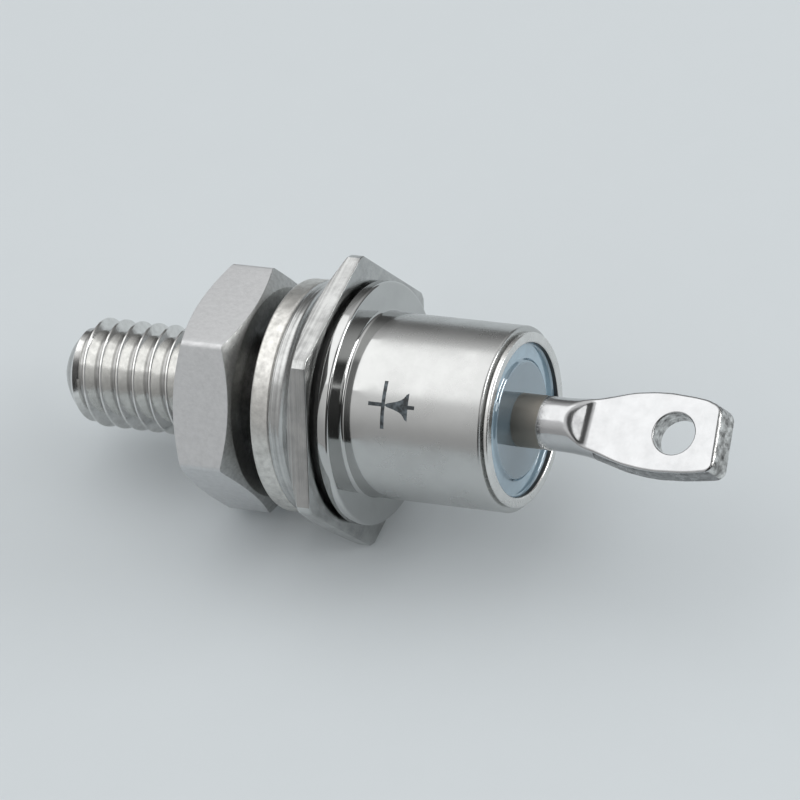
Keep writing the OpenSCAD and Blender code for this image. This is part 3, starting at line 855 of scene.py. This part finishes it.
def seal_glass(colours, collar_r, collar_shade_in=0.1, thin=0.15):
    # Compression seal glass: a blue-grey mirror, cloudy from fine bubbles, with painted shade over the
    # collar round the terminal
    finish = new_finish("compression_seal_glass")
    cloud = add_node(finish, "TexNoise", {"Vector": finish.place, "Scale": per_mm(0.7), "Detail": 5})
    shaded(finish, colours.glass[:3], cloud, 0.3, 0.7, 0.82)
    ripple = add_node(finish, "TexNoise", {"Vector": finish.place, "Scale": per_mm(0.9), "Detail": 2})
    bump = add_node(finish, "Bump", {"Height": ripple, "Distance": 4e-6, "Strength": 1})
    tint = linear("#E2EDF4")
    set_inputs(finish, {
        "Normal": bump, "Roughness": 0.06, "IOR": 2.2, "Specular Tint": tint, "Coat Weight": 1,
        "Coat Tint": tint, "Coat IOR": 2.2})
    # Painted shade over the collar, fading out just past its edge
    return darker_inside(finish, collar_r - collar_shade_in, collar_r + thin, 0.42)


def tinned_tube(colours, tin_from, bare_to=0.05, tin_at=0.11, creep=0.16):
    # Nickel-iron tube dipped in tin: bright with soft dents from the press, and dull oxide on the bare root
    finish = metal_finish("tin_on_pressed_tube", colours.tin, 0.17, shade=0.9, blotch_mm=0.9,
                          rough_span=0.06, grain_mm=0.35, grain_um=5, pits_mm=0.9, pits_um=5)
    uneven = add_node(finish, "TexNoise", {"Vector": finish.place, "Scale": per_mm(0.6), "Detail": 3})
    edge = add_node(finish, "Math", {0: uneven, 1: creep * MM, 2: axis_height(finish)},
                    operation="MULTIPLY_ADD")
    tinned = add_node(finish, "MapRange", {
        "Value": edge, "From Min": (tin_from + bare_to) * MM, "From Max": (tin_from + tin_at) * MM})
    for socket, bare, kind in (("Base Color", colours.bare, "RGBA"), ("Roughness", 0.5, "FLOAT")):
        mix = add_node(finish, "Mix", {0: tinned}, data_type=kind)
        from_bare, to_tin = (i for i in mix.inputs if i.enabled and i.name in ("A", "B"))
        from_bare.default_value = bare
        finish.tree.links.new(fed_by(finish, socket), to_tin)
        set_inputs(finish, {socket: mix})
    return finish


def thin_tin_and_painted_shade_on_pressed_edge(colours):
    # Nickel-iron edges of the pressed tube, where the tin ran thin: dull grey with dark specks, and darker
    # still with painted shade
    return metal_finish("thin_tin_and_painted_shade_on_pressed_edge", part_of(colours.tin, 0.6), 0.3, shade=0.5, blotch_mm=0.3,
                        rough_span=0.1, grain_mm=0.14, grain_um=10, pits_mm=0.3, pits_um=11)


def torn_nickel_iron_and_hole_shade(colours):
    # Nickel-iron torn where the tube was snapped off: bright tin smeared over dark, rough metal. On the
    # hole's wall the same dark patches are painted shade
    return metal_finish("torn_nickel_iron_and_hole_shade", colours.eyelet, 0.24, shade=0.12, blotch_mm=0.35, rough_span=0.1,
                        grain_mm=0.15, grain_um=14, pits_mm=0.3, pits_um=24)


# Nodes that keep their solids: finish name, colour, roughness, metallic, and size of the mottling in mm
INNER_FINISHES = {
    # Turned steel under thin nickel: a plain grey, dark in the gap under the flange
    "weld_ring": ("nickel_on_weld_ring", "#9A9A9A", 0.35, 1, 0.5),
    # Silver braze that has run and set: a pale, yellowish bead
    "ring_braze": ("silver_braze", "#D8CFB4", 0.3, 1, 0.3),
    # Soft solder, melted between the discs: dull silver with a cloudy skin
    "base_solder": ("soft_solder", "#B9BABD", 0.4, 1, 0.3),
    "die_solder": ("soft_solder_under_die", "#B9BABD", 0.4, 1, 0.3),
    "top_solder": ("soft_solder_on_die", "#B9BABD", 0.4, 1, 0.3),
    "lead_solder": ("soft_solder_on_disc", "#B9BABD", 0.4, 1, 0.3),
    # Lapped molybdenum: an even, dark steel grey
    "lower_disc": ("lapped_molybdenum", "#96979B", 0.3, 1, 0.25),
    "upper_disc": ("lapped_molybdenum_upper", "#96979B", 0.3, 1, 0.25),
    # Polished silicon: a dark, bluish mirror
    "die": ("polished_silicon", "#575C66", 0.12, 1, 0.8),
    # Drawn copper: salmon pink with a soft shine
    "lead": ("drawn_copper", "#C98560", 0.28, 1, 0.4),
    # Cast silicone rubber: milky, with a greasy sheen
    "junction_coat": ("silicone_coating", "#E4E0D2", 0.45, 0, 0.5),
}


# Operators

# Least part of a face's normal that points up the axis on the nut's face, sideways on the lug's sides, and
# up the axis on the lug's end
NUT_FACING, SIDE_FACING, END_FACING = 0.5, 0.75, 0.6
# Thin tin with painted shade starts this far past the ramp and outside the hole, and the torn end is this
# deep, in mm
THIN_PAST_RAMP, THIN_PAST_HOLE, TORN_DEPTH = 0.4, 0.1, 0.7


class DIODE_OT_base(Operator):
    """Adds the threaded stud and the hexagon base."""
    bl_idname = "diode.add_base"
    bl_label = "Stud and base"

    def execute(self, context):
        s = all_settings(context.scene)
        mesh = cleaned(skin("stud_base", base_columns(s.base, s.at)),
                       skin("stud", stud_columns(s.base, s.at), wrap=False))
        next_finish(mesh, 1, lambda normal, middle: middle.z < s.at.seat - FACE_MARGIN)
        finishes = [nickel_on_turned_copper(s.colours), nickel_on_rolled_thread(s.colours, s.root_r)]
        piece("stud_base_nickel", mesh, finishes, "stud_base", sharp=25)
        return {"FINISHED"}


class DIODE_OT_nut(Operator):
    """Adds the hexagon nut on the stud."""
    bl_idname = "diode.add_nut"
    bl_label = "Nut"

    def execute(self, context):
        s = all_settings(context.scene)
        mesh = skin("hex_nut", nut_columns(s.nut, s.base, s.at), loop=True)
        # The nut's face that looks into the gap gets painted shade
        next_finish(mesh, 1, lambda normal, middle: normal.z > NUT_FACING)
        # Radius where that painted shade ends
        shade_edge_r = s.nut.af / 2 - s.nut.face
        finishes = [satin_nickel_on_steel(s.colours), cut_steel_in_painted_shade(s.colours, shade_edge_r)]
        piece("hex_nut_satin", mesh, finishes, "hex_nut", sharp=50)
        return {"FINISHED"}


class DIODE_OT_washer(Operator):
    """Adds the washer at the seat."""
    bl_idname = "diode.add_washer"
    bl_label = "Washer"

    def execute(self, context):
        s = all_settings(context.scene)
        mesh = skin("washer", washer_columns(s.nut, s.base, s.at), loop=True)
        piece("washer_tin", mesh, [tin_on_punched_steel(s.colours)], "washer", sharp=60)
        return {"FINISHED"}


class DIODE_OT_can(Operator):
    """Adds the can with its flange and its polarity mark."""
    bl_idname = "diode.add_can"
    bl_label = "Can"

    def execute(self, context):
        s = all_settings(context.scene)
        can = skin("can", spun(can_profile(s.can, s.at, s.can_inner_r), 288), loop=True)
        mesh = cleaned(can, *mark_strips(s.can))
        finishes = [nickel_on_drawn_steel(s.colours, s.at.flange_top), printed_ink(s.colours)]
        piece("can_nickel_marked", mesh, finishes, "can", sharp=50)
        return {"FINISHED"}


class DIODE_OT_seal(Operator):
    """Adds the eyelet and the glass round the terminal."""
    bl_idname = "diode.add_seal"
    bl_label = "Eyelet and glass"

    def execute(self, context):
        s = all_settings(context.scene)
        inner = s.eyelet_inner_r
        profile = eyelet_profile(s.seal, s.can, s.at, s.can_inner_r, inner)
        eyelet = skin("seal_ring", spun(profile, 256), loop=True)
        # The wall inside the eyelet gets the oxide with painted shade
        next_finish(eyelet, 1, lambda normal, middle: middle.xy.length < inner + FACE_MARGIN)
        finishes = [nickel_on_eyelet(s.colours), oxide_and_painted_shade_on_eyelet(s.colours)]
        piece("seal_ring_nickel", eyelet, finishes, "seal_ring")
        profile = glass_profile(s.seal, s.at, inner, s.terminal.tube_d / 2)
        glass = skin("glass_seal", spun(profile, 192), loop=True)
        finishes = [seal_glass(s.colours, s.seal.collar_d / 2)]
        piece("glass_seal_disc", glass, finishes, "glass_seal")
        return {"FINISHED"}


class DIODE_OT_terminal(Operator):
    """Adds the tube that is pressed flat into the solder lug."""
    bl_idname = "diode.add_terminal"
    bl_label = "Terminal"

    def execute(self, context):
        s = all_settings(context.scene)
        lug, hole_r = s.terminal, s.terminal.hole_d / 2
        across = Vector((-math.sin(lug.lug_turn), math.cos(lug.lug_turn), 0))

        def on_side(normal, middle):
            past_hole = abs(middle.dot(across)) > hole_r + THIN_PAST_HOLE
            past_ramp = middle.z > lug.press_to + THIN_PAST_RAMP
            return past_hole and past_ramp and abs(normal.dot(across)) > SIDE_FACING

        def on_end(normal, middle):
            return middle.z > lug.end - TORN_DEPTH and normal.z > END_FACING

        def in_hole(normal, middle):
            up = middle.z - lug.end + lug.hole_back
            return math.hypot(up, middle.dot(across)) < hole_r + 2 * FACE_MARGIN

        mesh = terminal_mesh(lug, s.at.glass_top - s.seal.glass_t - lug.below)
        # The lug's sides get thin tin with painted shade
        next_finish(mesh, 1, on_side)
        next_finish(mesh, 2, on_end)
        # The hole's wall gets the torn finish as painted shade
        next_finish(mesh, 2, in_hole)
        finishes = [tinned_tube(s.colours, lug.tin_from), thin_tin_and_painted_shade_on_pressed_edge(s.colours),
                    torn_nickel_iron_and_hole_shade(s.colours)]
        piece("terminal_tinned", mesh, finishes, "terminal", sharp=42)
        return {"FINISHED"}


class DIODE_OT_inside(Operator):
    """Gives the solids that stay their own finishes."""
    bl_idname = "diode.finish_inside"
    bl_label = "Weld ring and inside"

    def execute(self, context):
        for node, (name, hex_colour, rough, metallic, mottle) in INNER_FINISHES.items():
            finish = metal_finish(name, linear(hex_colour), rough, blotch_mm=mottle, grain_mm=mottle / 4,
                                  grain_um=2)
            set_inputs(finish, {"Metallic": metallic})
            mesh = frame["nodes"][node].data
            mesh.materials.clear()
            mesh.materials.append(finish.material)
        return {"FINISHED"}


class DIODE_OT_stage(Operator):
    """Adds the floor, the light and the camera."""
    bl_idname = "diode.set_stage"
    bl_label = "Stage"

    def execute(self, context):
        scene = context.scene
        floor_stage(scene)
        soft_boxes(scene)
        grey_room(scene)
        photograph_camera(scene, scene.diode_stage)
        scene.view_settings.view_transform = "Standard"
        return {"FINISHED"}


# Half of the floor's side in metres
FLOOR_HALF = 1.5
# Share of its colour that the floor adds for the camera, in reflections and through glass
FLOOR_GLOW = 0.08
# Soft boxes: place of the middle in metres, width and height in metres, power in watts
SOFT_BOXES = {
    "soft_box_over": ((-0.27, 0.05, 0.42), 0.62, 0.51, 0.79),
    "soft_box_right": ((0.4, -0.1, 0.36), 0.26, 0.26, 0.32),
    "soft_box_lug_end": ((0.38, 0.16, 0.14), 0.2, 0.15, 0.8),
}
# Light of the room behind the diode, before it and over it, and the share that is missing at its right
ROOM_BEHIND, ROOM_BEFORE, ROOM_OVER, ROOM_DARK = 0.16, 0.45, 0.9, 0.9


def floor_stage(scene):
    """A wide plain floor."""
    # Matt painted board: even and pale, with a slight glow of its own, so that it only takes a soft shadow
    finish = new_finish("matt_painted_board")
    grain = add_node(finish, "TexNoise", {"Vector": finish.place, "Scale": per_mm(2), "Detail": 3})
    shaded(finish, scene.diode_finish.floor[:3], grain, 0, 1, 0.985)
    path = add_node(finish, "LightPath").outputs
    seen = path["Is Camera Ray"]
    for ray in ("Is Glossy Ray", "Is Transmission Ray"):
        seen = add_node(finish, "Math", {0: seen, 1: path[ray]}, operation="MAXIMUM")
    glow = add_node(finish, "Math", {0: seen, 1: FLOOR_GLOW}, operation="MULTIPLY")
    set_inputs(finish, {
        "Roughness": 0.9, "Specular IOR Level": 0.1, "Emission Color": fed_by(finish, "Base Color"),
        "Emission Strength": glow})
    mesh = bpy.data.meshes.new("floor")
    corners = [(x * FLOOR_HALF, y * FLOOR_HALF, 0) for x, y in ((-1, -1), (1, -1), (1, 1), (-1, 1))]
    mesh.from_pydata(corners, [], [(0, 1, 2, 3)])
    mesh.materials.append(finish.material)
    floor = bpy.data.objects.new("floor", mesh)
    scene.collection.objects.link(floor)


def soft_boxes(scene):
    """A large soft box over the diode, a small one at its right and a low one off the lug's end."""
    for name, (middle, width, height, power) in SOFT_BOXES.items():
        data = bpy.data.lights.new(name, "AREA")
        data.shape, data.size, data.size_y, data.energy = "RECTANGLE", width, height, power
        light = bpy.data.objects.new(name, data)
        scene.collection.objects.link(light)
        light.location = middle
        light.rotation_mode = "QUATERNION"
        light.rotation_quaternion = (-Vector(middle)).to_track_quat("-Z", "Y")


def grey_room(scene):
    """A grey room round the stage: lighter over it and before it, dark at its right."""
    world = bpy.data.worlds.new("grey_room")
    world.use_nodes = True
    scene.world = world
    room = SimpleNamespace(tree=world.node_tree)
    room.tree.nodes.clear()
    way = add_node(room, "TexCoord").outputs["Generated"]
    x, y, z = add_node(room, "SeparateXYZ", {"Vector": way}).outputs
    smooth = {"interpolation_type": "SMOOTHSTEP"}
    # Each range is a part of a direction of length one
    sides = add_node(room, "MapRange", {
        "Value": y, "From Min": 0.3, "From Max": -0.4,
        "To Min": ROOM_BEHIND, "To Max": ROOM_BEFORE}, **smooth)
    height = add_node(room, "MapRange", {
        "Value": z, "From Min": 0.15, "From Max": 0.8, "To Min": sides, "To Max": ROOM_OVER}, **smooth)
    right = add_node(room, "MapRange", {
        "Value": x, "From Min": -0.02, "From Max": 0.26, "To Min": 0, "To Max": ROOM_DARK}, **smooth)
    near = add_node(room, "MapRange", {"Value": y, "From Min": 0.24, "From Max": 0.06}, **smooth)
    dark = add_node(room, "Math", {0: right, 1: near}, operation="MULTIPLY")
    light = add_node(room, "Math", {0: 1, 1: dark}, operation="SUBTRACT")
    level = add_node(room, "Math", {0: height, 1: light}, operation="MULTIPLY")
    shade = add_node(room, "Background", {"Color": (1, 1, 1, 1), "Strength": level})
    add_node(room, "OutputWorld", {"Surface": shade})


def photograph_camera(scene, stage):
    """The camera at the photograph's viewing angle."""
    data = bpy.data.cameras.new("camera")
    data.lens, data.sensor_width = stage.lens, 36
    data.clip_start, data.clip_end = 0.01, 20
    camera = bpy.data.objects.new("camera", data)
    scene.collection.objects.link(camera)
    level = Vector((math.cos(stage.azimuth), math.sin(stage.azimuth), 0))
    up = Vector((0, 0, 1))
    back = level.cross(up) * math.cos(stage.elevation) + up * math.sin(stage.elevation)
    right = level * math.cos(stage.roll) + back.cross(level) * math.sin(stage.roll)
    place = Matrix((right, back.cross(right), back)).transposed().to_4x4()
    place.translation = Vector(stage.target) + back * stage.distance
    camera.matrix_world = place
    scene.camera = camera


class DIODE_PT_panel(Panel):
    """Lists the settings and the operators."""
    bl_idname = "DIODE_PT_panel"
    bl_label = "Stud diode"
    bl_space_type = "VIEW_3D"
    bl_region_type = "UI"
    bl_category = "Stud diode"

    def draw(self, context):
        for operator in OPERATORS:
            self.layout.operator(operator.bl_idname)
        for name, group in GROUPS.items():
            box = self.layout.box()
            box.label(text=group.__doc__.rstrip("."))
            for prop in group.__annotations__:
                box.prop(getattr(context.scene, name), prop)


OPERATORS = (DIODE_OT_base, DIODE_OT_nut, DIODE_OT_washer, DIODE_OT_can, DIODE_OT_seal, DIODE_OT_terminal,
             DIODE_OT_inside, DIODE_OT_stage)
GROUPS = {
    "diode_base": DiodeBaseSettings,
    "diode_nut": DiodeNutSettings,
    "diode_can": DiodeCanSettings,
    "diode_seal": DiodeSealSettings,
    "diode_terminal": DiodeTerminalSettings,
    "diode_finish": DiodeFinishSettings,
    "diode_stage": DiodeStageSettings,
}


def register():
    """Registers the settings, operators and panel."""
    for cls in (*GROUPS.values(), *OPERATORS, DIODE_PT_panel):
        bpy.utils.register_class(cls)
    for name, group in GROUPS.items():
        setattr(bpy.types.Scene, name, PointerProperty(type=group))


def unregister():
    """Takes them out again."""
    for name in GROUPS:
        delattr(bpy.types.Scene, name)
    for cls in (DIODE_PT_panel, *OPERATORS[::-1], *list(GROUPS.values())[::-1]):
        bpy.utils.unregister_class(cls)


def main():
    """Builds every piece and the stage."""
    register()
    bpy.ops.diode.add_base()
    bpy.ops.diode.add_nut()
    bpy.ops.diode.add_washer()
    bpy.ops.diode.add_can()
    bpy.ops.diode.add_seal()
    bpy.ops.diode.add_terminal()
    bpy.ops.diode.finish_inside()
    bpy.ops.diode.set_stage()


if __name__ == "__main__":
    main()
